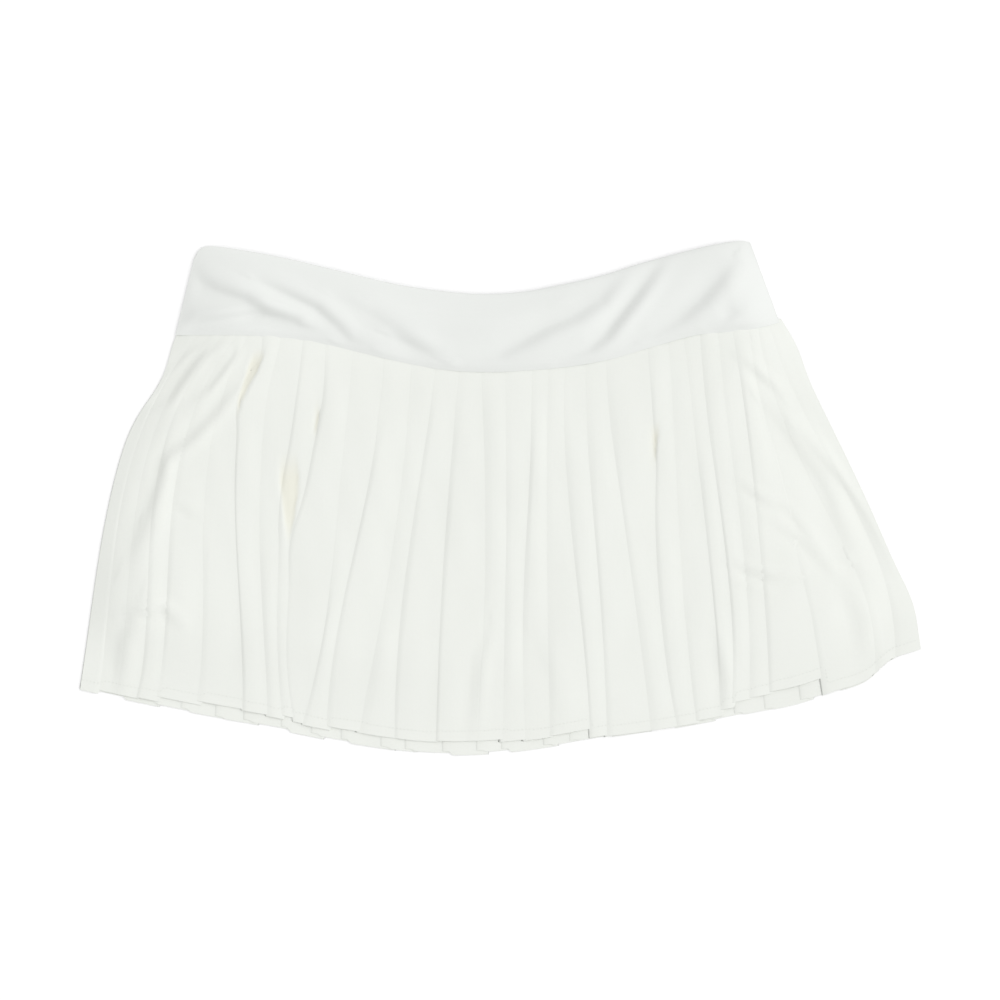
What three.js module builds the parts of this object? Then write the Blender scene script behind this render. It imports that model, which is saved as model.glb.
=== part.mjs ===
// A pleated tennis skort laid flat on a table, front up: a deep doubled knit waistband,
// two knife-pleated skirt panels and the plain shorts between them.
//
// Millimetres. +X runs across the garment, +Y from the hem to the waist, +Z up from the table.
// The underside lies on z = 0.

import * as THREE from 'three';

// ---- Cloth ------------------------------------------------------------------------------

const GAP = 0.3;               // air between two pieces, and between two layers of one pleat
const PLEAT_WALL = 1.1;        // pleated woven cloth
const BAND_WALL = 2.0;         // knit band, doubled with its elastic
const SHORTS_WALL = 1.0;       // plain knit

// ---- How the layers stack ---------------------------------------------------------------

const LAYER = PLEAT_WALL + GAP;
const PANEL_HEIGHT = 3 * PLEAT_WALL + 2 * GAP;               // face, return and underlay
const SHORTS_BACK_Z = PANEL_HEIGHT + GAP;
const SHORTS_FRONT_Z = SHORTS_BACK_Z + SHORTS_WALL + GAP;
const FRONT_OVER_SHORTS = SHORTS_FRONT_Z + SHORTS_WALL + GAP; // underside of the front panel
const FRONT_AT_HEM = PANEL_HEIGHT + GAP;                      // where it lies on the back panel
const FRONT_AT_SIDE = LAYER;                                  // where it meets the back's edge
const BAND_FRONT_TOP_Z = BAND_WALL + GAP;                     // underside, at the waist edge
const BAND_FRONT_SEAM_Z = 5.5;                                // underside, at the skirt seam

// ---- Outline ----------------------------------------------------------------------------

// The waistband sags between its two corners. Each row is one station across the band, from
// the left side seam to the right one: a point on the waist edge and one on the skirt seam.
const BAND = [
  { topX: -239, topY: 187, seamX: -253.5, seamY: 127.5 },
  { topX: -235, topY: 194, seamX: -247, seamY: 127.5 },
  { topX: -227, topY: 197, seamX: -238, seamY: 127.5 },
  { topX: -203, topY: 194, seamX: -212, seamY: 127.3 },
  { topX: -170, topY: 188, seamX: -178, seamY: 126 },
  { topX: -140, topY: 181, seamX: -145, seamY: 122 },
  { topX: -109, topY: 173.5, seamX: -112, seamY: 114.5 },
  { topX: -78, topY: 166.5, seamX: -78, seamY: 106.5 },
  { topX: -47, topY: 162, seamX: -45, seamY: 100.5 },
  { topX: -16, topY: 159.5, seamX: -12, seamY: 98.5 },
  { topX: 16, topY: 161, seamX: 22, seamY: 99.8 },
  { topX: 47, topY: 166.5, seamX: 56, seamY: 103 },
  { topX: 78, topY: 173.5, seamX: 88, seamY: 109 },
  { topX: 109, topY: 183, seamX: 122, seamY: 119 },
  { topX: 140, topY: 191.5, seamX: 154, seamY: 127.5 },
  { topX: 167, topY: 198, seamX: 184, seamY: 130.5 },
  { topX: 187, topY: 201, seamX: 206, seamY: 134 },
  { topX: 195.5, topY: 200, seamX: 218.5, seamY: 137.5 },
];

// The back hem, which shows all round the bottom as one shallow arc.
const BACK_HEM = [
  { x: -328.5, y: -149.5 },
  { x: -304, y: -155 },
  { x: -262, y: -164 },
  { x: -225, y: -171.5 },
  { x: -183, y: -179 },
  { x: -121, y: -191.5 },
  { x: -46, y: -200.6 },
  { x: -19, y: -200.6 },
  { x: 23, y: -197 },
  { x: 78, y: -188 },
  { x: 125, y: -181.5 },
  { x: 195, y: -169 },
  { x: 234, y: -161 },
  { x: 262, y: -151.5 },
  { x: 289, y: -141 },
  { x: 303, y: -128 },
  { x: 328.5, y: -118 },
];

// The front panel's folds, from the left side edge to the right one. A fold crosses the seam,
// then a third and two thirds of the way down, and the hem, at these X. hemLift is how far the
// pleat that starts there ends above the back hem.
const FRONT_FOLDS = [
  { seam: -253.5, upper: -295, lower: -315, hem: -328.5, hemLift: 0 },
  { seam: -234, upper: -285, lower: -302, hem: -313, hemLift: 3 },
  { seam: -222, upper: -273, lower: -287, hem: -298, hemLift: 3 },
  { seam: -211, upper: -262, lower: -272, hem: -283, hemLift: 4 },
  { seam: -201, upper: -246, lower: -257, hem: -267, hemLift: 8 },
  { seam: -193, upper: -224, lower: -229, hem: -234, hemLift: 11 },
  { seam: -184, upper: -205, lower: -203, hem: -200, hemLift: 10 },
  { seam: -168, upper: -184, lower: -184, hem: -180, hemLift: 9 },
  { seam: -151, upper: -166, lower: -168, hem: -167, hemLift: 12 },
  { seam: -134, upper: -147, lower: -153, hem: -155, hemLift: 9 },
  { seam: -111, upper: -121, lower: -137, hem: -145, hemLift: 8 },
  { seam: -87, upper: -99, lower: -122, hem: -133, hemLift: 11 },
  { seam: -66, upper: -75, lower: -89, hem: -107, hemLift: 10 },
  { seam: -47, upper: -62, lower: -75, hem: -81, hemLift: 10 },
  { seam: -29, upper: -38, lower: -45, hem: -49, hemLift: 11 },
  { seam: -12, upper: -9, lower: -11, hem: -15, hemLift: 11 },
  { seam: 6, upper: 7, lower: 6, hem: 5, hemLift: 9 },
  { seam: 27, upper: 23, lower: 20, hem: 23, hemLift: 8 },
  { seam: 40, upper: 38, lower: 40, hem: 41, hemLift: 9 },
  { seam: 52, upper: 55, lower: 64, hem: 72, hemLift: 2 },
  { seam: 69, upper: 73, lower: 80, hem: 86, hemLift: 1 },
  { seam: 85, upper: 95, lower: 110, hem: 121, hemLift: 1 },
  { seam: 118, upper: 121, lower: 126, hem: 140, hemLift: 1 },
  { seam: 133, upper: 139, lower: 145, hem: 155, hemLift: 3 },
  { seam: 145, upper: 154, lower: 167, hem: 174, hemLift: 8 },
  { seam: 158, upper: 167, lower: 180, hem: 186, hemLift: 12 },
  { seam: 171, upper: 182, lower: 193, hem: 197, hemLift: 13 },
  { seam: 183, upper: 196, lower: 206, hem: 212, hemLift: 15 },
  { seam: 194, upper: 213, lower: 237, hem: 255, hemLift: 1 },
  { seam: 203, upper: 231, lower: 272, hem: 295, hemLift: 0.5 },
  { seam: 211, upper: 248, lower: 290, hem: 311, hemLift: 0 },
  { seam: 218.5, upper: 260, lower: 300, hem: 328.5, hemLift: 0 },
];

// The band is pulled down at its corners and middle, which leaves soft drag folds. Each row
// is one trough pressed into the raised knit, along a bent line of three points.
const BAND_TROUGHS = [
  { x0: -232, y0: 167, x1: -190, y1: 148, x2: -146, y2: 129, halfWidth: 9, depth: 1.8 },
  { x0: -246, y0: 132, x1: -205, y1: 141, x2: -164, y2: 137, halfWidth: 8, depth: 1.2 },
  { x0: -186, y0: 166, x1: -144, y1: 147, x2: -112, y2: 120, halfWidth: 9, depth: 1.8 },
  { x0: -125, y0: 152, x1: -98, y1: 139, x2: -64, y2: 117, halfWidth: 12, depth: 1.4 },
  { x0: -25, y0: 110, x1: 38, y1: 133, x2: 92, y2: 174, halfWidth: 11, depth: 2.2 },
  { x0: 52, y0: 110, x1: 96, y1: 142, x2: 126, y2: 186, halfWidth: 9, depth: 2.0 },
  { x0: 122, y0: 130, x1: 154, y1: 152, x2: 177, y2: 182, halfWidth: 10, depth: 1.6 },
];
const BAND_PUFF = 2.4;          // how far the knit stands up between two troughs
const SIDE_ROLL = 13;           // width over which a side edge rolls down, at the waist
const HEM_SIDE_ROLL = 17;       // and at the hem

// ---- Pleats and sections ----------------------------------------------------------------

const UNDERLAP = 0.48;          // share of each pleat that lies folded under it
const OVER_SHORTS_UNTIL = 0.74; // share of the way down where the front panel leaves the shorts
const ON_BACK_FROM = 0.86;      // and where it has come down on the back panel
const SECTIONS = [0, 0.14, 0.38, OVER_SHORTS_UNTIL, ON_BACK_FROM, 1];
const BACK_PLEATS = 24;
const BACK_MARGIN_SEAM = 15;    // plain cloth beside each side seam of the back
const BACK_MARGIN_HEM = 36;
const BACK_UNEVENNESS = 0.16;   // how far a back fold strays, as a share of its pitch
const BAND_COLUMNS = 44;
const BAND_ROWS = 6;

// ---- Shorts -----------------------------------------------------------------------------

const SHORTS = {
  left: -232, right: 199,       // outer edges, just inside the side seams
  hemOuterY: -70, hemInnerY: -108,
  crotchX: -14, crotchY: -64,
  legGap: 44,                   // between the two leg hems
  topSteps: 48,
};

// ---- Curves -----------------------------------------------------------------------------

// Smooth value of one column of a table, looked up by another, by cubic Hermite pieces.
function lookUp(table, key, column, at) {
  const last = table.length - 1;
  let i = 0;
  while (i < last - 1 && table[i + 1][key] < at) {
    i += 1;
  }
  const slope = (k) => {
    const before = table[Math.max(k - 1, 0)];
    const after = table[Math.min(k + 1, last)];
    return (after[column] - before[column]) / (after[key] - before[key]);
  };
  const span = table[i + 1][key] - table[i][key];
  const s = THREE.MathUtils.clamp((at - table[i][key]) / span, 0, 1);
  const startSlope = slope(i) * span;
  const endSlope = slope(i + 1) * span;
  const rise = table[i + 1][column] - table[i][column];
  return table[i][column]
    + startSlope * s * (1 - s) ** 2
    + rise * s * s * (3 - 2 * s)
    - endSlope * s * s * (1 - s);
}

const seamY = (x) => lookUp(BAND, 'seamX', 'seamY', x);
const backHemY = (x) => lookUp(BACK_HEM, 'x', 'y', x);

// A fold's X at share v of the way down: the cubic through its four crossings.
function foldX(fold, v) {
  const a = (3 * v - 1) * (3 * v - 2) * (1 - v) / 2;
  const b = 9 * v * (3 * v - 2) * (v - 1) / 2;
  const c = 9 * v * (3 * v - 1) * (1 - v) / 2;
  const d = v * (3 * v - 1) * (3 * v - 2) / 2;
  return a * fold.seam + b * fold.upper + c * fold.lower + d * fold.hem;
}

// ---- Solids -----------------------------------------------------------------------------

// Two triangles for each step between rings of [x, y, z]. Stacked layers run both ways round
// a ring, so the diagonal follows +X in each and no two layers cross.
function sideFaces(rings) {
  const count = rings[0].length;
  const faces = [];
  for (let r = 0; r < rings.length - 1; r += 1) {
    for (let i = 0; i < count; i += 1) {
      const next = (i + 1) % count;
      const here = r * count + i;
      const beside = r * count + next;
      const below = here + count;
      const belowBeside = beside + count;
      if (rings[r][next][0] > rings[r][i][0]) {
        faces.push([here, below, beside], [beside, below, belowBeside]);
      } else {
        faces.push([here, below, belowBeside], [here, belowBeside, beside]);
      }
    }
  }
  return faces;
}

// Fills the end of a wall. A ring holds the wall's upper side from left to right and then its
// lower side from right to left, so each upper corner has its own lower one.
function capFaces(count, firstCorner, sameWay) {
  const faces = [];
  for (let i = 0; i < count / 2 - 1; i += 1) {
    const [lower, nextLower] = [count - 1 - i, count - 2 - i];
    faces.push([i, i + 1, nextLower], [i, nextLower, lower]);
  }
  return faces.map(([a, b, c]) => {
    return (sameWay ? [a, b, c] : [a, c, b]).map((corner) => corner + firstCorner);
  });
}

// Closes a list of equal rings into one solid whose faces point out.
function solidThroughRings(rings) {
  const last = rings.length - 1;
  const faces = [
    ...sideFaces(rings),
    ...capFaces(rings[0].length, 0, true),
    ...capFaces(rings[0].length, last * rings[0].length, false),
  ];
  const corners = rings.flat().map((point) => new THREE.Vector3(...point));
  const volume = faces.reduce((sum, [a, b, c]) => {
    return sum + corners[a].dot(corners[b].clone().cross(corners[c]));
  }, 0);
  const facingOut = volume > 0 ? faces : faces.map(([a, b, c]) => [a, c, b]);
  const geometry = new THREE.BufferGeometry().setFromPoints(corners);
  geometry.setIndex(facingOut.flat());
  geometry.computeVertexNormals();
  return geometry;
}

// ---- Skirt panels -----------------------------------------------------------------------

// One section of a pleated panel, seen from the hem: cloth runs along a face, drops under the
// next pleat, turns back on itself and rises round that pleat's fold. Returns the wall's upper
// and lower side, left to right. restZ gives the height of what the panel lies on.
function pleatSection(folds, v, marginLevel, restZ) {
  const xs = folds.map((fold) => foldX(fold, v));
  const right = xs.length - 1;
  const rest = (x) => restZ(x, v, xs[0], xs[right]);
  const upper = [];
  const lower = [];
  const margin = (x, lift) => {
    upper.push({ x, z: rest(x) + marginLevel + PLEAT_WALL, lift });
    lower.push({ x, z: rest(x) + marginLevel, lift });
  };
  margin(xs[0], folds[0].hemLift);
  margin(THREE.MathUtils.lerp(xs[0], xs[1], 0.45), folds[0].hemLift);
  for (let k = 1; k < right; k += 1) {
    const edge = xs[k];
    const under = edge + UNDERLAP * (xs[k + 1] - edge);
    const edgeRest = rest(edge);
    const underRest = rest(under);
    const atEdge = (height, lift) => ({ x: edge, z: edgeRest + height, lift });
    const atUnder = (height, lift) => ({ x: under, z: underRest + height, lift });
    const inset = PLEAT_WALL / (under - edge);
    const lift = folds[k].hemLift;
    const liftBefore = folds[k - 1].hemLift;
    upper.push(
      atEdge(PLEAT_WALL, liftBefore),
      {
        x: under - PLEAT_WALL,
        z: THREE.MathUtils.lerp(underRest, edgeRest, inset) + PLEAT_WALL + GAP / 2,
        lift: liftBefore,
      },
      atEdge(LAYER, lift),
      atEdge(PANEL_HEIGHT, lift),
      atUnder(PANEL_HEIGHT, lift),
    );
    lower.push(
      atEdge(0, liftBefore),
      atUnder(0, liftBefore),
      atUnder(PANEL_HEIGHT - LAYER, liftBefore),
      {
        x: edge + PLEAT_WALL,
        z: THREE.MathUtils.lerp(edgeRest, underRest, inset) + PANEL_HEIGHT - LAYER + GAP / 2,
        lift,
      },
      atUnder(PANEL_HEIGHT - PLEAT_WALL, lift),
    );
  }
  margin(xs[right], folds[right].hemLift);
  return [...upper, ...lower.reverse()];
}

// A panel from its seam to its hem. Only the hem itself steps up and down with the pleats.
function pleatedPanel(folds, seamAt, hemAt, marginLevel, restZ) {
  const [seamRow, hemRow] = [0, 1].map((v) => pleatSection(folds, v, marginLevel, restZ));
  const rings = SECTIONS.map((v) => {
    return pleatSection(folds, v, marginLevel, restZ).map(({ x, z, lift }, i) => {
      const y = THREE.MathUtils.lerp(seamAt(seamRow[i].x), hemAt(hemRow[i].x), v);
      return [x, v === 1 ? y + lift : y, z];
    });
  });
  return solidThroughRings(rings);
}

// The front panel lies over the shorts, comes down on the back panel towards the hem, and
// rolls down at each side to meet the back panel's edge.
function frontRestZ(x, v, left, right) {
  const down = THREE.MathUtils.smoothstep(v, OVER_SHORTS_UNTIL, ON_BACK_FROM);
  const inner = THREE.MathUtils.lerp(FRONT_OVER_SHORTS, FRONT_AT_HEM, down);
  const roll = THREE.MathUtils.lerp(SIDE_ROLL, HEM_SIDE_ROLL, v);
  const fromSide = Math.min(x - left, right - x) / roll;
  return THREE.MathUtils.lerp(FRONT_AT_SIDE, inner, Math.min(fromSide, 1));
}

// The back panel's folds, evenly pitched but for a slight unevenness, in a frame turned half
// round the Y axis, so that they face the same way round the body as the front ones.
function backFolds() {
  const outline = [FRONT_FOLDS[FRONT_FOLDS.length - 1], FRONT_FOLDS[0]];
  const across = (column, margin, share) => {
    const left = -outline[0][column] + margin;
    const right = -outline[1][column] - margin;
    return THREE.MathUtils.lerp(left, right, share);
  };
  const folds = [];
  for (let k = 0; k < BACK_PLEATS; k += 1) {
    const stray = BACK_UNEVENNESS * Math.sin(2.4 * k) * Math.sin(Math.PI * k / (BACK_PLEATS - 1));
    const share = (k + stray) / (BACK_PLEATS - 1);
    const margin = (v) => THREE.MathUtils.lerp(BACK_MARGIN_SEAM, BACK_MARGIN_HEM, v);
    folds.push({
      seam: across('seam', margin(0), share),
      upper: across('upper', margin(1 / 3), share),
      lower: across('lower', margin(2 / 3), share),
      hem: across('hem', margin(1), share),
      hemLift: 0,
    });
  }
  const edge = (fold) => ({
    seam: -fold.seam, upper: -fold.upper, lower: -fold.lower, hem: -fold.hem, hemLift: 0,
  });
  return [edge(outline[0]), ...folds, edge(outline[1])];
}

function skirtFront() {
  const hemAt = (x) => backHemY(x);
  return pleatedPanel(FRONT_FOLDS, seamY, hemAt, 0, frontRestZ);
}

function skirtBack() {
  const facesOnTable = PANEL_HEIGHT - PLEAT_WALL;
  return pleatedPanel(backFolds(), (x) => seamY(-x), (x) => backHemY(-x), facesOnTable, () => 0);
}

// ---- Waistband --------------------------------------------------------------------------

const BAND_STATIONS = BAND.map((row, at) => ({ at, ...row }));

// A point of the band: s across from left to right, t down from the waist edge to the seam.
function bandPoint(s, t) {
  const at = s * (BAND.length - 1);
  const value = (column) => lookUp(BAND_STATIONS, 'at', column, at);
  const x = THREE.MathUtils.lerp(value('topX'), value('seamX'), t);
  const y = THREE.MathUtils.lerp(value('topY'), seamY(value('seamX')) + GAP, t);
  return [x, y];
}

function distanceToLine(x, y, [ax, ay], [bx, by]) {
  const line = new THREE.Line3(new THREE.Vector3(ax, ay, 0), new THREE.Vector3(bx, by, 0));
  const here = new THREE.Vector3(x, y, 0);
  return line.closestPointToPoint(here, true, new THREE.Vector3()).distanceTo(here);
}

// How far the drag folds press the knit down at one point.
function troughDepth(x, y) {
  return BAND_TROUGHS.reduce((sum, fold) => {
    const bend = [fold.x1, fold.y1];
    const distance = Math.min(
      distanceToLine(x, y, [fold.x0, fold.y0], bend),
      distanceToLine(x, y, bend, [fold.x2, fold.y2]),
    );
    return sum + fold.depth * Math.exp(-((distance / fold.halfWidth) ** 2));
  }, 0);
}

// Underside height of the front of the band: down on the back at the waist edge and the sides,
// up at the seam where the skirt and shorts hang from it, with the knit puffed between folds.
function bandFrontZ(x, y, s, t) {
  const [left] = bandPoint(0, t);
  const [right] = bandPoint(1, t);
  const fromSide = THREE.MathUtils.smoothstep(Math.min(x - left, right - x), 0, SIDE_ROLL);
  const slope = (BAND_FRONT_SEAM_Z - BAND_FRONT_TOP_Z) * THREE.MathUtils.smoothstep(t, 0, 1);
  const puff = Math.max(BAND_PUFF - troughDepth(x, y), 0) * Math.sin(Math.PI * t);
  return BAND_FRONT_TOP_Z + (slope + puff) * fromSide;
}

function bandSolid(rows, undersideZ) {
  const rings = [];
  for (let row = 0; row <= rows; row += 1) {
    const t = row / rows;
    const upper = [];
    const lower = [];
    for (let column = 0; column <= BAND_COLUMNS; column += 1) {
      const s = column / BAND_COLUMNS;
      const [x, y] = bandPoint(s, t);
      const z = undersideZ(x, y, s, t);
      upper.push([x, y, z + BAND_WALL]);
      lower.push([x, y, z]);
    }
    rings.push([...upper, ...lower.reverse()]);
  }
  return solidThroughRings(rings);
}

// ---- Shorts -----------------------------------------------------------------------------

// One flat half of the shorts, cut with a waist that follows the skirt seam and two short legs.
function shortsHalf() {
  const { left, right, hemOuterY, hemInnerY, crotchX, crotchY, legGap, topSteps } = SHORTS;
  const outline = new THREE.Shape();
  outline.moveTo(left, hemOuterY);
  for (let i = 0; i <= topSteps; i += 1) {
    const x = THREE.MathUtils.lerp(left, right, i / topSteps);
    outline.lineTo(x, seamY(x));
  }
  outline.lineTo(right, hemOuterY);
  outline.lineTo(crotchX + legGap / 2, hemInnerY);
  outline.lineTo(crotchX, crotchY);
  outline.lineTo(crotchX - legGap / 2, hemInnerY);
  return new THREE.ExtrudeGeometry(outline, { depth: SHORTS_WALL, bevelEnabled: false });
}

// ---- The skort --------------------------------------------------------------------------

const pleatedCloth = { color: '#eff2ec', roughness: 0.85, metalness: 0 };
const bandKnit = { color: '#eef1ef', roughness: 0.7, metalness: 0 };
const shortsKnit = { color: '#eceeec', roughness: 0.75, metalness: 0 };

function piece(name, geometry, cloth) {
  const mesh = new THREE.Mesh(geometry, new THREE.MeshStandardMaterial(cloth));
  mesh.name = name;
  return mesh;
}

const skort = new THREE.Group();

const bandBack = piece('waistband_back', bandSolid(1, () => 0), bandKnit);
const bandFront = piece('waistband_front', bandSolid(BAND_ROWS, bandFrontZ), bandKnit);
const front = piece('skirt_front', skirtFront(), pleatedCloth);

const back = piece('skirt_back', skirtBack(), pleatedCloth);
back.rotation.y = Math.PI;
back.position.z = PANEL_HEIGHT;

const shortsBack = piece('shorts_back', shortsHalf(), shortsKnit);
shortsBack.position.z = SHORTS_BACK_Z;

const shortsFront = piece('shorts_front', shortsHalf(), shortsKnit);
shortsFront.position.z = SHORTS_FRONT_Z;

skort.add(bandBack, bandFront, front, back, shortsBack, shortsFront);

export default skort;
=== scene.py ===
# %% [markdown]
# # A pleated sports skort, laid flat
# A skort is a short skirt with shorts sewn inside. This one has a deep knit waistband, a front
# and a back panel of knife pleats, and plain inner shorts. It lies on a white table, front up,
# and is seen from straight above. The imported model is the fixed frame: each cloth piece below
# is a thin shell that stands in the place of one of its solids.

import math

import bpy
import numpy as np
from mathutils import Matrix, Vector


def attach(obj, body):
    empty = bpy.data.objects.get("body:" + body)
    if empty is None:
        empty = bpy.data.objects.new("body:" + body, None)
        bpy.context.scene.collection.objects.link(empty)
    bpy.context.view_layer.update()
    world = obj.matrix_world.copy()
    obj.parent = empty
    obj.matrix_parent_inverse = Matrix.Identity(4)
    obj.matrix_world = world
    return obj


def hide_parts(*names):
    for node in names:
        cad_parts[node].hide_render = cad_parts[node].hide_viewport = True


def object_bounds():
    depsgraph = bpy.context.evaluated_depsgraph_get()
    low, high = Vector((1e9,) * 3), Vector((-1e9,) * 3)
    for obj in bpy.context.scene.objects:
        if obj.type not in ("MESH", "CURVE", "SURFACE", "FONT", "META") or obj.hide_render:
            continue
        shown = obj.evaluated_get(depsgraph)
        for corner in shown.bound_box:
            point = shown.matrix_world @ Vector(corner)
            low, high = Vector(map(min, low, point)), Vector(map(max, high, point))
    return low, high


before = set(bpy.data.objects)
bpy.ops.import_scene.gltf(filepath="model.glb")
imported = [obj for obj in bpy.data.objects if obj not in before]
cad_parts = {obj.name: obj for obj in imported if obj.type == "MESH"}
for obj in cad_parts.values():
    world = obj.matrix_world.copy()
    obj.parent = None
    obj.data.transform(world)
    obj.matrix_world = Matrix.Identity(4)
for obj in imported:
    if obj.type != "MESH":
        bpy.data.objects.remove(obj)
cad_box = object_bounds()
MM = 0.001
print("frame box", [round(c, 4) for corner in cad_box for c in corner])

# %% [markdown]
# ## Camera, light and table
# A garment on a table is shot from above. A long lens keeps the edges true. The light is one
# very broad lamp on the right, so that the left side of each fold falls into soft shade, and a
# bright even surround that keeps white cloth from going grey. Together they light a level
# surface at about strength 1, so a colour renders as it is written.

# %% Camera
PICTURE_WIDTH = 0.780           # metres of table across the picture
LENS = 85.0                     # millimetres, as is the sensor
SENSOR = 36.0
CAMERA_Y = -0.0012              # centres the garment in the picture
camera_data = bpy.data.cameras.new("camera")
camera_data.lens = LENS
camera_data.sensor_width = SENSOR
camera = bpy.data.objects.new("camera", camera_data)
camera.location = (0, CAMERA_Y, PICTURE_WIDTH * LENS / SENSOR + cad_box[1].z / 2)
bpy.context.scene.collection.objects.link(camera)
bpy.context.scene.camera = camera
bpy.context.scene.view_settings.view_transform = "Standard"
print("camera", round(camera.location.z, 3), "m above the table")

# %% Lights
SUN_SHARE = 0.24                # of the light on a level surface; the surround gives the rest
SUN_TILT = 52                   # degrees from straight overhead
SUN_FROM = 10                   # degrees from +X towards +Y
SUN_SOFTNESS = 64               # degrees across
sun_data = bpy.data.lights.new("studio_lamp", "SUN")
sun_data.energy = math.pi * SUN_SHARE / math.cos(math.radians(SUN_TILT))
sun_data.angle = math.radians(SUN_SOFTNESS)
sun = bpy.data.objects.new("studio_lamp", sun_data)
sun.rotation_euler = (0, math.radians(SUN_TILT), math.radians(SUN_FROM))
bpy.context.scene.collection.objects.link(sun)
print("lamp gives", SUN_SHARE, "of the light, over", SUN_SOFTNESS, "degrees")

# %% [markdown]
# ## Writing shaders as sums
# A material is a graph of small nodes. `Value` wraps one node output, so that adding or
# multiplying two values writes the Math node. Any other node comes from `Graph.node`.

# %% A socket that does arithmetic
class Value:
    def __init__(self, graph, socket):
        self.graph = graph
        self.socket = socket

    def _math(self, operation, *others):
        return self.graph.node("ShaderNodeMath", {"operation": operation}, [self, *others])

    def __add__(self, other):
        return self._math("ADD", other)

    def __sub__(self, other):
        return self._math("SUBTRACT", other)

    def __mul__(self, other):
        return self._math("MULTIPLY", other)

    __radd__ = __add__


class Graph:
    """The nodes of one material, or of the world."""

    def __init__(self, name, kind="Material"):
        maker = bpy.data.worlds if kind == "World" else bpy.data.materials
        self.kind = kind
        self.made = maker.new(name)
        self.made.use_nodes = True
        self.tree = self.made.node_tree
        self.tree.nodes.clear()

    def seen_directly(self):
        """1 for what the camera sees, straight or by mirror or glass, and 0 for stray light."""
        path = ("Is Camera Ray", "Is Glossy Ray", "Is Transmission Ray")
        first, second, third = (self.node("ShaderNodeLightPath", output=name) for name in path)
        return first + second + third

    def node(self, kind, settings=None, values=(), output=0):
        made = self.tree.nodes.new(kind)
        for key, setting in (settings or {}).items():
            if key == "stops":
                for stop, (position, colour) in zip(made.color_ramp.elements, setting):
                    stop.position = position
                    stop.color = colour
            else:
                setattr(made, key, setting)
        pairs = values.items() if isinstance(values, dict) else enumerate(values)
        for key, value in pairs:
            if isinstance(value, Value):
                self.tree.links.new(value.socket, made.inputs[key])
            else:
                made.inputs[key].default_value = value
        return Value(self, made.outputs[output]) if len(made.outputs) else None

    def finish(self, shader):
        self.node("ShaderNodeOutput" + self.kind, values={"Surface": shader})
        return self.made


# %% The surround lights the cloth evenly, and is plain white to the camera
surround = Graph("surround", "World")
even, white = (surround.node("ShaderNodeBackground", values={"Color": (1, 1, 1, 1), "Strength": s})
               for s in (1 - SUN_SHARE, 1.0))
bpy.context.scene.world = surround.finish(surround.node(
    "ShaderNodeMixShader", values={0: surround.seen_directly(), 1: even, 2: white}))

# %% Table top, white to the camera but keeping the garment's shadow
TABLE_GREY = (0.80, 0.80, 0.80, 1)
TABLE_GLOW = 0.27               # lifts the lit table just past white
table_graph = Graph("table_white")
plain = table_graph.node("ShaderNodeBsdfDiffuse", values={"Color": TABLE_GREY})
glow = table_graph.node(
    "ShaderNodeEmission", values={"Color": (1, 1, 1, 1), "Strength": TABLE_GLOW})
bright = table_graph.node("ShaderNodeAddShader", values=[plain, glow])
table_shader = table_graph.node(
    "ShaderNodeMixShader", values={0: table_graph.seen_directly(), 1: plain, 2: bright})
TABLE_HALF = 3.0                # metres from the middle to a side
TABLE_Z = -0.0003
table_mesh = bpy.data.meshes.new("table_top")
table_mesh.from_pydata(
    [(x * TABLE_HALF, y * TABLE_HALF, TABLE_Z) for x, y in ((-1, -1), (1, -1), (1, 1), (-1, 1))],
    [], [(0, 1, 2, 3)])
table_top = bpy.data.objects.new("table_top", table_mesh)
table_mesh.materials.append(table_graph.finish(table_shader))
bpy.context.scene.collection.objects.link(table_top)
print("table", 2 * TABLE_HALF, "m square")

# %% [markdown]
# ## Cloths
# The pleats are a crisp plain weave, the band a smooth stretch jersey. Both are white with a
# faint cast. Their threads are finer than a hair at this distance, so the weave is bump, with
# a slow mottling in colour and roughness that keeps the white from looking like paint.

# %% Cloth materials
GAP_SHADE_TINT = (0.985, 0.962, 0.90, 1)     # painted warm shade: multiplies the cloth colour where two pleats part
WAVES_PER_THREAD = 0.314        # Wave texture scale for one wave in one unit of length
THREAD_RELIEF = 0.0002          # metres


def cloth(name, colour, thread, strength, roughness, sheen, ribs_only):
    """Woven or knitted white cloth. thread is one thread's width in metres."""
    g = Graph(name)
    place = g.node("ShaderNodeTexCoord", output="Object")
    warp, weft = (
        g.node("ShaderNodeTexWave", {"bands_direction": way},
               {"Vector": place, "Scale": WAVES_PER_THREAD / thread, "Distortion": 0.6}, output=1)
        for way in "XY")
    slub = g.node("ShaderNodeTexNoise", values={"Vector": place, "Scale": 420.0, "Detail": 3.0})
    cloud = g.node("ShaderNodeTexNoise", values={"Vector": place, "Scale": 17.0, "Detail": 4.0})
    weave = warp * 0.5 + (0.5 if ribs_only else weft * 0.5)
    height = weave * 0.6 + slub * 0.5
    bump = g.node("ShaderNodeBump", values={
        "Strength": strength, "Distance": THREAD_RELIEF, "Height": height})
    shade = cloud * 0.6 + slub * 0.15
    tint = g.node("ShaderNodeValToRGB", {"stops": [
        (0.25, (colour[0] * 0.975, colour[1] * 0.975, colour[2] * 0.972, 1)),
        (0.60, (*colour, 1))]}, {"Fac": shade})
    # painted warm shade: where this attribute is 1 the colour is multiplied by the warm tint, as
    # shade between parted pleats
    inside = g.node("ShaderNodeAttribute", {"attribute_name": "painted_gap_shade"}, output="Fac")
    tint = g.node("ShaderNodeMix", {"data_type": "RGBA", "blend_type": "MULTIPLY"},
                  {0: inside, 6: tint, 7: GAP_SHADE_TINT}, output=2)
    rough = roughness + (cloud - 0.5) * 0.12
    shader = g.node("ShaderNodeBsdfPrincipled", values={
        "Base Color": tint, "Roughness": rough, "Normal": bump,
        "Specular IOR Level": 0.3, "Sheen Weight": sheen, "Sheen Roughness": 0.45})
    return g.finish(shader)


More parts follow.
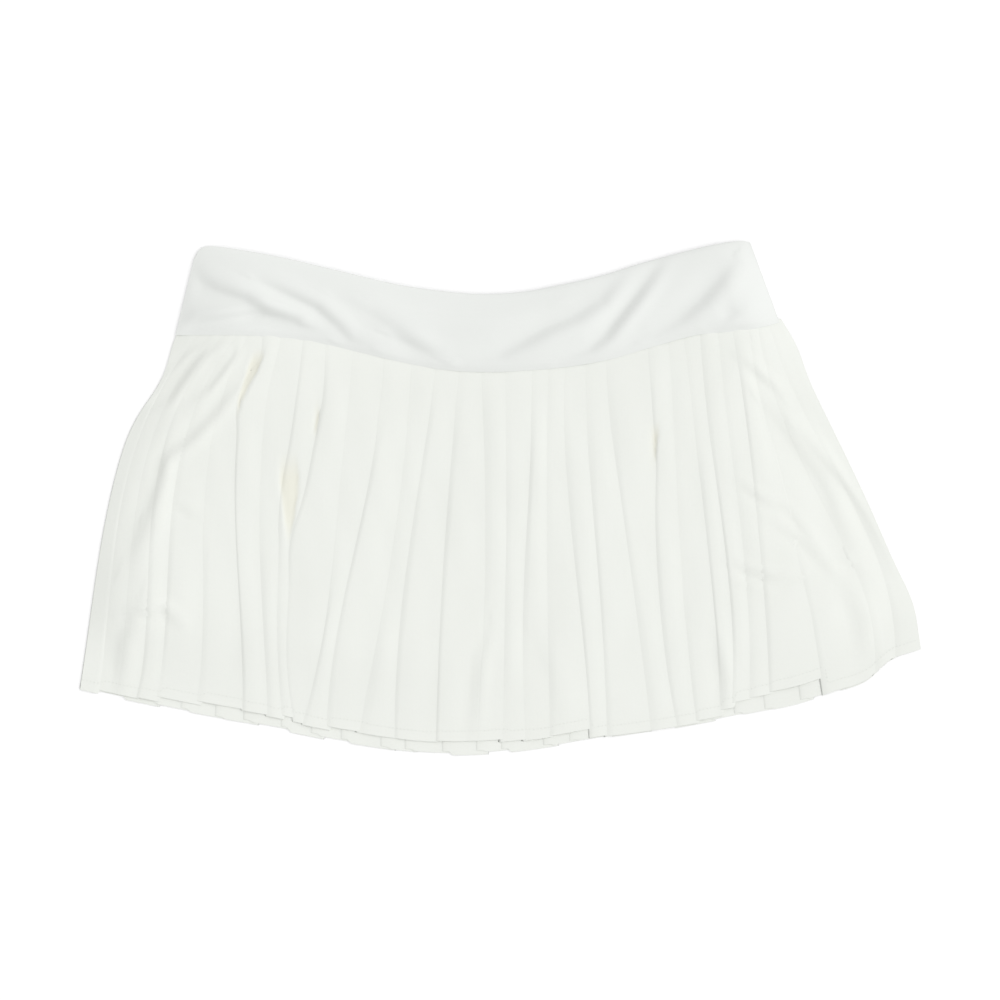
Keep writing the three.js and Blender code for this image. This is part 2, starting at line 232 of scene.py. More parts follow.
pleat_cloth = cloth("pleated_cloth", (0.874, 0.892, 0.848), 0.00045, 0.35, 0.78, 0.10, False)
band_knit = cloth("band_knit", (0.838, 0.856, 0.832), 0.00060, 0.30, 0.55, 0.15, True)
shorts_knit = cloth("shorts_knit", (0.84, 0.85, 0.84), 0.00060, 0.4, 0.7, 0.05, True)
thread_white = cloth("sewing_thread", (0.80, 0.815, 0.785), 0.0003, 0.5, 0.6, 0.1, True)
print("cloths", [m.name for m in (pleat_cloth, band_knit, shorts_knit, thread_white)])

# %% [markdown]
# ## Outline
# These few sizes are the same as the solids'. The waistband sags between its corners, and the
# hem is a shallow arc. All sizes from here on are in millimetres.

# %% Sizes shared by the pieces
BAND = np.array([               # waist edge x, y, then seam x, y, from left to right
    (-239, 187, -253.5, 127.5), (-235, 194, -247, 127.5), (-227, 197, -238, 127.5),
    (-203, 194, -212, 127.3), (-170, 188, -178, 126), (-140, 181, -145, 122),
    (-109, 173.5, -112, 114.5), (-78, 166.5, -78, 106.5), (-47, 162, -45, 100.5),
    (-16, 159.5, -12, 98.5), (16, 161, 22, 99.8), (47, 166.5, 56, 103),
    (78, 173.5, 88, 109), (109, 183, 122, 119), (140, 191.5, 154, 127.5),
    (167, 198, 184, 130.5), (187, 201, 206, 134), (195.5, 200, 218.5, 137.5)])
BACK_HEM = np.array([           # x, y
    (-328.5, -149.5), (-304, -155), (-262, -164), (-225, -171.5), (-183, -179),
    (-121, -191.5), (-46, -200.6), (-19, -200.6), (23, -197), (78, -188), (125, -181.5),
    (195, -169), (234, -161), (262, -151.5), (289, -141), (303, -128), (328.5, -118)])


CRISP = 0.0012                  # share of a net's length that its narrow end cells take


def smooth_through(keys, values, at):
    """A smooth curve through points, with no overshoot between close ones."""
    slopes = np.gradient(values, keys)
    at = np.clip(at, keys[0], keys[-1])
    i = np.clip(np.searchsorted(keys, at) - 1, 0, len(keys) - 2)
    span = keys[i + 1] - keys[i]
    s = (at - keys[i]) / span
    rise = values[i + 1] - values[i]
    return (values[i] + slopes[i] * span * s * (1 - s) ** 2 + rise * s * s * (3 - 2 * s)
            - slopes[i + 1] * span * s * s * (1 - s))


def seam_y(x):
    return smooth_through(BAND[:, 2], BAND[:, 3], x)


def back_hem_y(x):
    return smooth_through(BACK_HEM[:, 0], BACK_HEM[:, 1], x)


def smoothstep(low, high, at):
    s = np.clip((at - low) / (high - low), 0, 1)
    return s * s * (3 - 2 * s)


def crisp_shares(count):
    """Even shares from 0 to 1, with one more close to each end.

    Smooth shading turns a surface toward its rim over the last cell of the net. The extra cell
    is so narrow that the rim stays a thin line."""
    even_shares = np.linspace(0, 1, count)
    return np.concatenate([[0, CRISP], even_shares[1:-1], [1 - CRISP, 1]])


def line_distance(x, y, points):
    """Distance from each x, y to a bent line, the share of its length there, and the side.

    The side is 1 to the left of someone who walks along it, seen from above, and -1 to the
    right."""
    best = np.full(np.shape(x), 1e9)
    share = np.zeros(np.shape(x))
    side = np.ones(np.shape(x))
    points = np.array(points, float)
    lengths = np.hypot(*np.diff(points, axis=0).T)
    done = 0.0
    for (ax, ay), (bx, by), length in zip(points[:-1], points[1:], lengths):
        along = ((x - ax) * (bx - ax) + (y - ay) * (by - ay)) / length ** 2
        t = np.clip(along, 0, 1)
        distance = np.hypot(x - ax - t * (bx - ax), y - ay - t * (by - ay))
        closer = distance < best
        best = np.where(closer, distance, best)
        share = np.where(closer, (done + t * length) / lengths.sum(), share)
        turn = (bx - ax) * (y - ay) - (by - ay) * (x - ax)
        side = np.where(closer, np.where(turn > 0, 1.0, -1.0), side)
        done += length
    return best, share, side


def fold_relief(x, y, folds, ridge_share=0.9):
    """Height of soft folds laid along bent lines.

    Each fold is a crease along its line, with a ridge on the left of someone who walks along
    it. The cloth sinks slowly to the crease on one side and climbs fast on the other."""
    height = np.zeros(np.shape(x))
    for points, width, size in folds:
        distance, along, side = line_distance(x, y, points)
        across = distance * side
        sink = np.exp(-(distance / np.where(side < 0, 1.6 * width, 0.6 * width)) ** 2)
        ridge = ridge_share * np.exp(-((across - 1.3 * width) / width) ** 2)
        height += size * np.sin(np.pi * (0.08 + 0.84 * along)) * (ridge - 0.8 * sink)
    return height


# %% [markdown]
# ## Turning rows of points into cloth
# Every panel is a net of points, row by row from the waist down. A Solidify modifier then
# gives the net the thickness of the cloth, so hems and folds show a real edge.

# %% Net to mesh
def make_cloth(name, net, thickness, material, node, painted_gap_shade=None):
    """A thin shell through a net of points in millimetres, in rows from the top.

    The last argument, one number a point, is painted shade: how far the colour takes the warm tint
    where two pleats part."""
    rows, columns, _ = net.shape
    first = np.arange(rows - 1)[:, None] * columns + np.arange(columns - 1)[None, :]
    quads = np.stack([first, first + columns, first + columns + 1, first + 1], -1)
    mesh = bpy.data.meshes.new(name)
    mesh.from_pydata((net.reshape(-1, 3) * MM).tolist(), [], quads.reshape(-1, 4).tolist())
    mesh.polygons.foreach_set("use_smooth", np.ones(len(mesh.polygons), bool))
    mesh.materials.append(material)
    if painted_gap_shade is not None:
        kept = mesh.attributes.new("painted_gap_shade", "FLOAT", "POINT")
        kept.data.foreach_set("value", np.ravel(painted_gap_shade).astype(np.float32))
    piece = bpy.data.objects.new(name, mesh)
    bpy.context.scene.collection.objects.link(piece)
    shell = piece.modifiers.new("cloth thickness", "SOLIDIFY")
    shell.thickness = thickness * MM
    shell.offset = 0
    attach(piece, "root")
    if node:
        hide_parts(node)
    print(name, "net", rows, "x", columns, "triangles", 4 * len(mesh.polygons))
    return piece

# %% [markdown]
# ## Knife pleats
# A knife pleat is one length of cloth folded twice. Along the hem it runs across a visible
# face, drops under the next pleat, turns back to the left, and turns again round that pleat's
# sharp left-hand fold. Each row below is one such fold: where it crosses the seam, a third and
# two thirds of the way down, and the hem, how far its hem hangs above the back one, how boldly
# the fold stands, how wide it rolls, and between which shares of the way down it shows. The
# pleats are pressed, but worn: some stand from end to end, some only in part, and one whose
# shares lie past 1 stays shut.

# %% Folds of the front panel
FRONT_FOLDS = np.array([        # seam, upper, lower, hem, hem lift, stand, roll, shows from, to
    (-253.5, -295, -315, -328.5, 0, 0.3, 1, 0, 1),
    (-234, -285, -302, -313, 3, 0.1, 3.0, 1.3, 2),
    (-222, -273, -287, -298, 3, 0.1, 3.0, 1.3, 2),
    (-211, -262, -272, -283, 4, 1.0, 1.4, 0.33, 1),
    (-201, -246, -257, -267, 8, 0.8, 1.8, 0.30, 0.85),
    (-193, -224, -229, -234, 11, 0.1, 3.0, 0.6, 1),
    (-184, -205, -203, -200, 10, 1.2, 1.0, 0, 1),
    (-168, -184, -184, -180, 9, 0.2, 2.2, 0.6, 1),
    (-151, -164, -172, -169, 12, 0.7, 1.2, 0.04, 0.5),
    (-134, -147, -163, -160, 9, 1.2, 1.0, 0.1, 0.56),
    (-111, -121, -132, -153, 8, 0.7, 1.6, 0.7, 1),
    (-87, -100, -121, -133, 11, 1.0, 1.8, 0.2, 1),
    (-66, -75, -89, -107, 10, 0.4, 2.8, 0.75, 1),
    (-47, -62, -75, -81, 10, 1.2, 1.7, 0.12, 1),
    (-29, -38, -45, -49, 11, 1.1, 1.4, 0.15, 1),
    (-12, -9, -10, -15, 11, 0.15, 3.0, 0.1, 0.6),
    (6, 7, 6, 5, 9, 0.15, 3.0, 0.2, 0.8),
    (27, 24, 20, 23, 8, 1.1, 2.0, 0.12, 0.75),
    (40, 38, 40, 41, 9, 0.1, 3.0, 0.5, 1),
    (52, 55, 64, 72, 2, 0.8, 1.6, 0.2, 1),
    (69, 73, 80, 86, 1, 0.8, 2.0, 0.2, 1),
    (85, 94, 108, 121, 1, 0.6, 2.4, 0.1, 1),
    (118, 121, 126, 140, 1, 0.9, 1.4, 0.1, 1),
    (133, 139, 145, 155, 3, 0.1, 2.2, 0.7, 1),
    (145, 156, 166, 174, 8, 1.1, 1.2, 0.38, 0.9),
    (158, 167, 179, 183, 12, 0.9, 1.4, 0, 1),
    (171, 182, 193, 197, 13, 0.1, 2.6, 0.7, 1),
    (183, 196, 206, 212, 15, 0.8, 1.5, 0.1, 1),
    (194, 213, 236, 255, 1, 0.7, 2.4, 0.65, 1),
    (203, 231, 275, 296, 0.5, 0.6, 3.0, 0.7, 1),
    (211, 248, 292, 311, 0, 0.1, 3.0, 0.8, 1),
    (218.5, 260, 300, 328.5, 0, 0.3, 1, 0, 1)])
FOLD_BENDS = (                  # fold, share of the way down, shift, spread
    (9, 0.53, -5.0, 0.09), (9, 0.15, 1.5, 0.10), (8, 0.42, -3.0, 0.12),
    (22, 0.30, 2.0, 0.10), (6, 0.06, 6.0, 0.05), (6, 0.18, -4.0, 0.06), (0, 0.13, 9.0, 0.10),
    (31, 0.08, 3.5, 0.08), (31, 0.86, 4.0, 0.10))
print(len(FRONT_FOLDS) - 2, "front pleats")


def fold_paths(folds, v, bends=()):
    """Each fold's x at shares v of the way down, one row of results for each v.

    A cubic runs through the fold's four places, and each bend pushes it aside a little."""
    weights = np.stack([
        (3 * v - 1) * (3 * v - 2) * (1 - v) / 2, 9 * v * (3 * v - 2) * (v - 1) / 2,
        9 * v * (3 * v - 1) * (1 - v) / 2, v * (3 * v - 1) * (3 * v - 2) / 2], 1)
    paths = weights @ folds[:, :4].T
    for fold, centre, shift, spread in bends:
        paths[:, fold] += shift * np.exp(-((v - centre) / spread) ** 2)
    return paths


# %% [markdown]
# The cross-section of one pleat is a short list of stations: pairs of a share across and a
# height. The cloth lies in three layers beside each fold. The fold's nose is a round roll,
# crisp where the press held and wide where the cloth has relaxed, and it beds into the face
# beside it, as soft cloth does. The face then sinks from the top of the fold to the layer
# below, where the next pleat covers it.

# %% Cross-section of one pleat
MARGIN = (0.0, 0.015, 0.12, 0.3, 0.5, 0.7, 0.88)     # shares across the strip before fold 1
NOSE = ((-1.0, -9.0), (-0.66, -0.15), (-0.30, 0.30), (0.05, 0.70), (0.40, 0.94))
FACE = ((0.03, 1.00), (0.14, 1.00), (0.26, 0.95), (0.38, 0.84), (0.50, 0.66), (0.62, 0.45),
        (0.74, 0.25), (0.86, 0.09), (0.95, 0.01), (1.00, 0.00))
UNDERLAY = ((0.35, 0.0), (0.80, 0.12), (0.97, 0.60), (1.00, 0.80))
RETURN = (0.60, 0.05)
CLOTH_LOW = 0.25                # centre of the lowest layer above what it rests on, mm
LAYER = 0.33                    # one cloth thickness with its air, mm
FOLD_SHUT = 0.24                # height of a fold where it doesn't show, mm
FOLD_STEP = 0.50                # height of the shallowest fold that shows, mm
FOLD_GROWTH = 0.22              # more height for each unit of stand, mm
WIDEST_ROLL = 0.34              # of the pleat's width
DEEPEST_FOLD = 8.0              # how far a fold goes under its pleat at most, mm
HIDDEN_LIFT = 1.2               # how far the folded layers end above the hem, mm
SEAM_TUCK = 3.0                 # how far a panel goes up under the band, mm
TUCK_DEPTH = 0.4                # how much lower it lies there, mm
FADE_BEFORE, FADE_AFTER = 0.12, 0.05     # how a fold comes and goes, as shares of the way down
FOLD_REACH = 0.42               # how far a fold goes under its pleat, as a share of its face
MARGIN_HEIGHT = 0.3             # of the flat strips at both sides, mm
FRONT_BED = 0.5                 # how deep a nose may press into the cloth beside it, mm
print("stations in a pleat", len(UNDERLAY + RETURN + NOSE + FACE))


def fold_shows(v, start, end):
    """1 where a fold shows, fading to 0 past its start and its end."""
    begun = smoothstep(start - FADE_BEFORE, start + FADE_AFTER, v)
    if end == 1:
        return begun
    return begun * (1 - smoothstep(end - FADE_AFTER, end + FADE_BEFORE, v))


def pleated_net(folds, v, seam_at, hem_at, rest_at, bed, bends=()):
    """Points of a pleated panel, row by row, and which of its columns are folded under.

    rest_at gives the height the panel lies on, and bed how deep a fold's nose may press into
    the cloth beside it."""
    paths = fold_paths(folds, v, bends)
    last = len(folds) - 1
    pitch = np.diff(paths, axis=1)
    columns = []                # x, height, hem lift, and 1 where the cloth is folded under

    def station(x, height, lift, hidden=0.0):
        columns.append((x, np.broadcast_to(height, v.shape), lift, hidden))

    press = 0.60 + 0.40 * smoothstep(0.0, 0.25, v) - 0.25 * smoothstep(0.9, 1.0, v)
    margin = paths[:, 1] - paths[:, 0]
    for share in MARGIN:
        station(paths[:, 0] + share * margin, MARGIN_HEIGHT, folds[0, 4])
    for k in range(1, last):
        lift_before, lift = folds[k - 1, 4], folds[k, 4]
        edge, face = paths[:, k], pitch[:, k]
        under = np.minimum(FOLD_REACH * face, DEEPEST_FOLD)
        stand, roll_width, start_v, end_v = folds[k, 5:9]
        shows = fold_shows(v, start_v, end_v)
        standing = (FOLD_STEP + FOLD_GROWTH * stand) * (1 + 0.18 * np.sin(9 * v + 2.1 * k))
        top = (FOLD_SHUT + (standing - FOLD_SHUT) * shows) * press
        roll = roll_width * (1 + 0.35 * np.sin(6 * v + 1.3 * k)) * (3.4 - 1.4 * shows)
        roll = roll * (1.7 - 0.7 * smoothstep(0.0, 0.4, v))
        roll = np.minimum(roll, WIDEST_ROLL * np.minimum(face, pitch[:, k - 1]))
        layer = np.minimum(LAYER, 0.45 * top)
        tucked = max(lift_before, lift) + HIDDEN_LIFT
        for share, height in UNDERLAY:
            station(edge + share * under, height * top, tucked, 1.0)
        for share in RETURN:
            station(edge + share * under, layer, tucked, 1.0)
        deepest = -bed * (1 - 0.5 * smoothstep(0.86, 1.0, v))
        for share, height in NOSE:
            station(edge + share * roll, np.maximum(top * height, deepest), lift)
        start = edge + 0.5 * roll
        for share, height in FACE:
            low = MARGIN_HEIGHT * smoothstep(0.1, 0.9, share) if k == last - 1 else 0.0
            station(start + share * (edge + face - start), height * top + low, lift)
    station(paths[:, last] + 0.1, MARGIN_HEIGHT, folds[last, 4])

    x, height = (np.stack([c[i] for c in columns], 1) for i in (0, 1))
    lift, hidden = (np.array([c[i] for c in columns]) for i in (2, 3))
    top = seam_at(x[0]) + SEAM_TUCK
    bottom = hem_at(x[-1]) + lift
    y = top[None, :] * (1 - v[:, None]) + bottom[None, :] * v[:, None]
    height = height - TUCK_DEPTH * (1 - smoothstep(0.0, 0.03, v))[:, None]
    sides = paths[:, [0]], paths[:, [last]]
    z = rest_at(x, y, v[:, None], *sides) + CLOTH_LOW + height
    return np.stack([x, y, z], 2), hidden

# %% [markdown]
# ## Where the front panel lies
# It lies over the shorts, comes down on the back panel near the hem, and rolls down at each
# side. On top of that go the drape folds, listed one by one: creases press the layers together,
# and ridges lift the cloth. Each is a bent line with a width and a depth.

# %% Folds of the front panel that cross its pleats
OVER_SHORTS = 6.7               # heights that the panel lies on
AT_HEM = 0.88
AT_SIDE = 0.45
LOOSE = 1.1                     # how far it stands off the shorts
ROLL_LEFT = 48.0                # over how much of its width the garment sinks to its side edge
ROLL_RIGHT = 30.0
WAIST_Y = 128.0                 # about where the panel starts
DRAPES = (                      # points, width, size in mm
    # from the left end of the band, down to the left
    (((-212, 126), (-230, 117), (-238, 108), (-250, 92), (-259, 78), (-275, 72)), 4.6, 1.7),
    (((-207, 121), (-208, 112), (-217, 100), (-228, 86), (-242, 78)), 3.4, 1.1),
    (((-229, 124), (-246, 114), (-257, 103)), 3.6, 1.0),
    (((-202, 93), (-217, 77), (-230, 61), (-242, 49), (-256, 39), (-264, 33), (-268, 14),
      (-277, -9)), 5.5, 2.0),
    # from the right end of the band, down to the right
    (((187, 106), (203, 92), (217, 80)), 4.6, 1.0),
    (((203, 72), (222, 46), (234, 30), (246, 14), (254, -1), (266, -34)), 8.5, 1.3),
    (((231, 51), (250, 28), (269, 6), (285, -17), (298, -40), (317, -72)), 6.5, 1.6),
    (((222, -9), (234, -25), (251, -49)), 4.0, 0.7),
    (((210, -20), (234, -36), (258, -61)), 4.0, 0.8),
    # short creases pressed in by handling
    (((186, 9), (199, 0), (206, -4), (219, -7)), 3.6, 0.9),
    (((180, -53), (195, -60), (214, -64), (233, -62)), 3.8, 1.6),
    (((178, -66), (204, -73)), 3.2, 0.7),
    (((264, -51), (278, -53)), 3.5, 0.8),
    (((-294, -94), (-263, -89), (-253, -97)), 4.2, 1.9),
    (((-255, -7), (-235, -15)), 3.4, 0.7),
    # slow folds toward the hem
    (((-285, -82), (-300, -110), (-306, -150)), 9.0, 1.5),
    (((-266, 16), (-280, -16), (-293, -45)), 9.0, 1.6),
    (((-10, -100), (-20, -125), (-27, -190)), 6.0, 0.9),
    (((262, -65), (276, -95), (281, -128)), 8.0, 1.2),
    (((166, -110), (172, -140), (171, -168)), 6.0, 0.8),
    (((24, -110), (36, -140), (40, -175)), 9.0, 0.5))
print(len(DRAPES), "drape folds")

# %% [markdown]
# Here and there two pleats part. There the cloth colour is tinted a warmer, darker white as
# painted shade.

# %% Places where pleats part, and how the whole panel lies
GAPES = (                       # from the top down: y, left edge x, right edge x; then depth, mm
    (((120, -191, -186), (112, -194, -183), (96, -199, -190), (77, -205, -201),
      (57, -207, -205)), 1.5),
    (((78, -143, -140), (62, -145, -141), (46, -147, -143)), 1.2),
    (((40, -172, -158), (14, -173, -156), (-10, -170, -159), (-26, -168, -162),
      (-40, -167, -166)), 1.0),
    (((62, 116, 126), (46, 117, 123), (28, 118.3, 121.5), (12, 119.4, 120)), 1.0))


def gape(x, y):
    """Depth of the places where two pleats part, which also sets how much painted warm shade tints
    the cloth there.
    """
    depth = np.zeros(np.shape(x))
    for rows, size in GAPES:
        ys, left, right = np.array(rows[::-1], float).T
        from_left = x - np.interp(y, ys, left)
        from_right = np.interp(y, ys, right) - x
        inside = smoothstep(-0.5, 3.5, from_left) * smoothstep(-0.3, 1.2, from_right)
        fade = 0.35 * (ys[-1] - ys[0])
        along = smoothstep(ys[0], ys[0] + fade, y) * (1 - smoothstep(ys[-1] - fade, ys[-1], y))
        depth += size * inside * along
    return depth


def slow_waves(x, y):
    """Slight unevenness of cloth that has been worn and laid down by hand."""
    return (0.35 * np.sin(x / 31 + 0.7 * np.sin(y / 43)) + 0.3 * np.sin(y / 37 + x / 90 + 1.0)
            + 0.25 * np.sin(x / 17 - y / 60 + 2.0)
            + 0.14 * np.sin(x / 4.6 + 1.5 * np.sin(y / 41)) * np.sin(x / 33 + y / 25))


def front_rest(x, y, v, left, right):
    down = smoothstep(0.74, 0.96, (WAIST_Y - y) / (WAIST_Y - back_hem_y(x)))
    inner = OVER_SHORTS * (1 - down) + AT_HEM * down
    wide = ROLL_RIGHT + 12 + 55 * smoothstep(0.0, 0.3, v)
    from_side = np.clip(np.minimum((x - left) / (ROLL_LEFT - 6 * v), (right - x) / wide), 0, 1)
    round_side = np.sin(np.pi / 2 * from_side)
    level = AT_SIDE + (inner - AT_SIDE) * round_side
    loose = (LOOSE + slow_waves(x, y)) * (1 - 0.8 * down) - gape(x, y)
    folds = fold_relief(x, y, DRAPES) * smoothstep(0.0, 0.12, from_side)
    lowest = AT_SIDE + 0.25 * round_side
    return np.maximum(level + (loose * round_side + folds) * smoothstep(0.0, 0.06, v), lowest)


# %% The front panel
ROWS = 76
PLEAT_CLOTH = 0.28              # thickness, mm
LOWEST_LAYER = 0.4
v_rows = 0.75 * crisp_shares(ROWS) + 0.25 * crisp_shares(ROWS) ** 2     # closer toward the waist
front_net, front_hidden = pleated_net(
    FRONT_FOLDS, v_rows, seam_y, back_hem_y, front_rest, FRONT_BED, FOLD_BENDS)

# the layers folded under go lower where a drape crosses, so that they don't poke through it
drape = np.abs(fold_relief(front_net[:, :, 0], front_net[:, :, 1], DRAPES))
sink = np.minimum(0.3 + 1.5 * drape, 2.0) * smoothstep(0.04, 0.14, v_rows)[:, None]
sunk = np.maximum(front_net[:, :, 2] - sink, LOWEST_LAYER)
front_net[:, :, 2] = np.where(front_hidden > 0, sunk, front_net[:, :, 2])

# painted warm shade where two pleats part, as much as the gap is deep, up to 1
front_gap_shade = np.minimum(gape(front_net[:, :, 0], front_net[:, :, 1]), 1)
front = make_cloth("pleated_front", front_net, PLEAT_CLOTH, pleat_cloth,
                   "skirt_front", front_gap_shade)

# %% [markdown]
# ## The back panel
# It lies with its outer faces on the table, and its pleats turn the same way round the body.
# So it is made like the front one and then turned half round the up-down axis of the garment.

# %% Folds and net of the back panel
BACK_PLEATS = 24


def back_folds():
    """The same columns as FRONT_FOLDS. The pleats are even but for a slight wander."""
    edges = FRONT_FOLDS[[-1, 0], :4]
    k = np.arange(BACK_PLEATS)
    stray = 0.16 * np.sin(2.4 * k) * np.sin(math.pi * k / (BACK_PLEATS - 1))
    share = ((k + stray) / (BACK_PLEATS - 1))[:, None]
    margin = 15 + 21 * np.array([0, 1 / 3, 2 / 3, 1])[None, :]
    left = -edges[[0]] + margin
    right = -edges[[1]] - margin
    inner = left * (1 - share) + right * share
    paths = np.concatenate([-edges[[0]], inner, -edges[[1]]])
    number = np.arange(len(paths))
    stand = 0.1 + 0.1 * np.sin(1.7 * number)
    roll = 1.2 + 0.6 * np.sin(2.9 * number)
    lift = 1.1 + 1.1 * np.sin(3.7 * number + 1)
    lift[[0, -1]] = 0
    return np.column_stack([paths, lift, stand, roll, 0 * lift, 0 * lift + 1])


def flat_rest(x, y, v, left, right):
    return np.zeros(np.broadcast_shapes(np.shape(x), np.shape(v)))


BACK_BENDS = ((BACK_PLEATS + 1, 0.13, -9.0, 0.10), (0, 0.08, -3.5, 0.08), (0, 0.86, -4.0, 0.10))
BACK_ROWS = 60
OFF_TABLE = 0.2
back_net, _ = pleated_net(back_folds(), crisp_shares(BACK_ROWS), lambda x: seam_y(-x),
                          lambda x: back_hem_y(-x), flat_rest, -LAYER, BACK_BENDS)
back_net[:, :, 0] *= -1
back_net[:, :, 2] = back_net[:, :, 2].max() - back_net[:, :, 2] + OFF_TABLE
back = make_cloth(
    "pleated_back", back_net, PLEAT_CLOTH, pleat_cloth, "skirt_back")

# %% [markdown]
# ## The waistband
# It is two layers of jersey over elastic, folded at the waist edge and sewn to the skirt. The
# weight of the skirt drags it into soft diagonal folds that start at the side seams. They are
# creases in a lightly puffed surface, each a bent line of its own width and depth.

# %% Drag folds of the band
BAND_FOLDS = (                  # points, width, size in mm
    (((-240, 172), (-222, 161), (-199, 153), (-183, 143), (-164, 137), (-140, 126)), 8.0, 4.6),
    (((-256, 129), (-234, 136), (-203, 141), (-186, 144), (-160, 137)), 5.5, 4.2),
    (((-190, 169), (-164, 156.5), (-144, 147), (-129, 134), (-117, 121), (-104, 117)), 6.5, 3.4),
    (((-128, 155), (-101, 141), (-78, 126), (-58, 114)), 10.0, 1.5),
    (((-84, 125), (-66, 116), (-50, 109)), 7.0, 2.8),
    (((95, 180), (78, 156), (58, 143), (35, 133), (16, 122), (0, 114), (-29, 109)), 8.5, 4.4),
    (((128, 191), (117, 174), (105, 157), (94, 143), (82, 127), (70, 117), (45, 108)), 6.0, 4.2),
    (((180, 186), (168, 169), (156, 155), (140, 141), (118, 128)), 8.5, 4.0),
    (((34, 154), (-16, 149), (-50, 150), (-98, 155)), 10.0, 1.6),
    (((185, 146), (172, 139)), 5.0, 1.6),
    (((174, 123), (163, 131)), 4.0, 1.8))
BAND_COLUMNS = 210
BAND_ROWS = 40
BAND_CLOTH = 0.7                # thickness of the knit, mm
EDGE_SHARE = 0.07               # of the band's depth, that its folded edge takes to round over
BAND_RIDGE = 0.5                # height of a ridge beside a crease, as a share of the crease
print(len(BAND_FOLDS), "drag folds")


def band_net(raise_by):
    """Points across the band, from the waist edge down to the skirt seam."""
    s = crisp_shares(BAND_COLUMNS)
    t = crisp_shares(BAND_ROWS)[:, None]
    at = s * (len(BAND) - 1)
    stations = np.arange(len(BAND), dtype=float)
    top_x, top_y, seam_x, _ = (smooth_through(stations, BAND[:, c], at) for c in range(4))
    x = top_x * (1 - t) + seam_x * t
    y = top_y * (1 - t) + seam_y(seam_x) * t
    return np.stack([x, y, raise_by(x, y, t)], 2)


def quarter_round(share):
    """Height of a round edge, 0 at the edge and 1 from share 1 on."""
    return np.sqrt(1 - (1 - np.clip(share, 0, 1)) ** 2)


# %% The front half sinks to its side edges, puffs in its middle and dips at the seam
def band_front_height(x, y, t):
    from_left, from_right = x - x[:, [0]], x[:, [-1]] - x
    side = np.clip(np.minimum(from_left / ROLL_LEFT, from_right / ROLL_RIGHT), 0, 1)
    folded = smoothstep(0, 14, np.minimum(from_left, from_right))
    lively = np.sin(np.pi * np.clip(0.93 * t + 0.03, 0, 1)) ** 0.6
    folds = fold_relief(x, y, BAND_FOLDS, BAND_RIDGE) * lively * folded
    slope = 4.1 * smoothstep(0, 1, t)
    puff = 4.2 * lively
    groove = (0.7 + 1.0 * smoothstep(172, 188, x)) * smoothstep(0.93, 1.0, t)
    rise = 0.9 * quarter_round(t / EDGE_SHARE) + slope + puff - groove
    return 1.5 + np.maximum(rise * np.sin(np.pi / 2 * side) + folds, 0.1)


band_front = make_cloth("band_outer_front", band_net(band_front_height), BAND_CLOTH, band_knit,
                        "waistband_front")


# %% The back half lies flat on the table, with its edges turned up a little
def band_back_height(x, y, t):
    from_side = np.minimum(x - x[:, [0]], x[:, [-1]] - x) / 4
    return 0.9 - 0.4 * quarter_round(np.minimum(t / EDGE_SHARE, from_side))


band_back = make_cloth("band_outer_back", band_net(band_back_height), BAND_CLOTH, band_knit,
                       "waistband_back")

# %% [markdown]
# ## The inner shorts
# They are hidden between the panels, so they stay plain: a front and a back half, each with a
# waist that follows the seam and two short legs.

# %% Shorts
SHORTS_LEFT, SHORTS_RIGHT = -231.0, 198.0
HEM_OUTER_Y, HEM_INNER_Y = -70.0, -108.0
CROTCH_X, CROTCH_Y = -14.0, -64.0
LEG_GAP = 44.0
SHORTS_CLOTH = 0.5


def shorts_net(height):
    """Points of one half of the shorts, lying at a height, lower toward both sides."""
    u = np.linspace(0, 1, 90)
    t = np.linspace(0, 1, 40)[:, None]
    x = SHORTS_LEFT + (SHORTS_RIGHT - SHORTS_LEFT) * u
    from_crotch = np.abs(x - CROTCH_X)
    reach = np.where(x < CROTCH_X, CROTCH_X - SHORTS_LEFT, SHORTS_RIGHT - CROTCH_X)
    inner = LEG_GAP / 2
    rise = CROTCH_Y + (HEM_INNER_Y - CROTCH_Y) * from_crotch / inner
    leg = HEM_INNER_Y + (HEM_OUTER_Y - HEM_INNER_Y) * (from_crotch - inner) / (reach - inner)
    bottom = np.where(from_crotch < inner, rise, leg)
    y = (seam_y(x) - 0.5) * (1 - t) + bottom * t
    low = 0.45 * (1 - smoothstep(0, 30, np.minimum(x - SHORTS_LEFT, SHORTS_RIGHT - x)))
    z = height * (1 - low) + 0.15 * np.sin(x / 13 + y / 29)
    return np.stack([np.broadcast_to(x, y.shape), y, z], 2)


shorts_back = make_cloth("inner_shorts_back", shorts_net(4.6), SHORTS_CLOTH, shorts_knit,
                         "shorts_back")
shorts_front = make_cloth("inner_shorts_front", shorts_net(5.6), SHORTS_CLOTH, shorts_knit,
                          "shorts_front")

# %% [markdown]
# ## Hem stitching
# Each panel has a narrow rolled hem, held by one row of small stitches. Every stitch is a tiny
# lozenge of thread lying on the cloth, set along a row of the panel's own net.

# %% Stitches along a net row
STITCH = 2.1                    # mm
STITCH_GAP = 0.9
THREAD = 0.16                   # half thickness, mm
HEM_DEPTH = 8.0                 # from the edge to the stitching
OFF_FACE = 0.32                 # from the middle of the cloth up to the thread, front panel
OFF_BACK = 0.30                 # and down to it, back panel


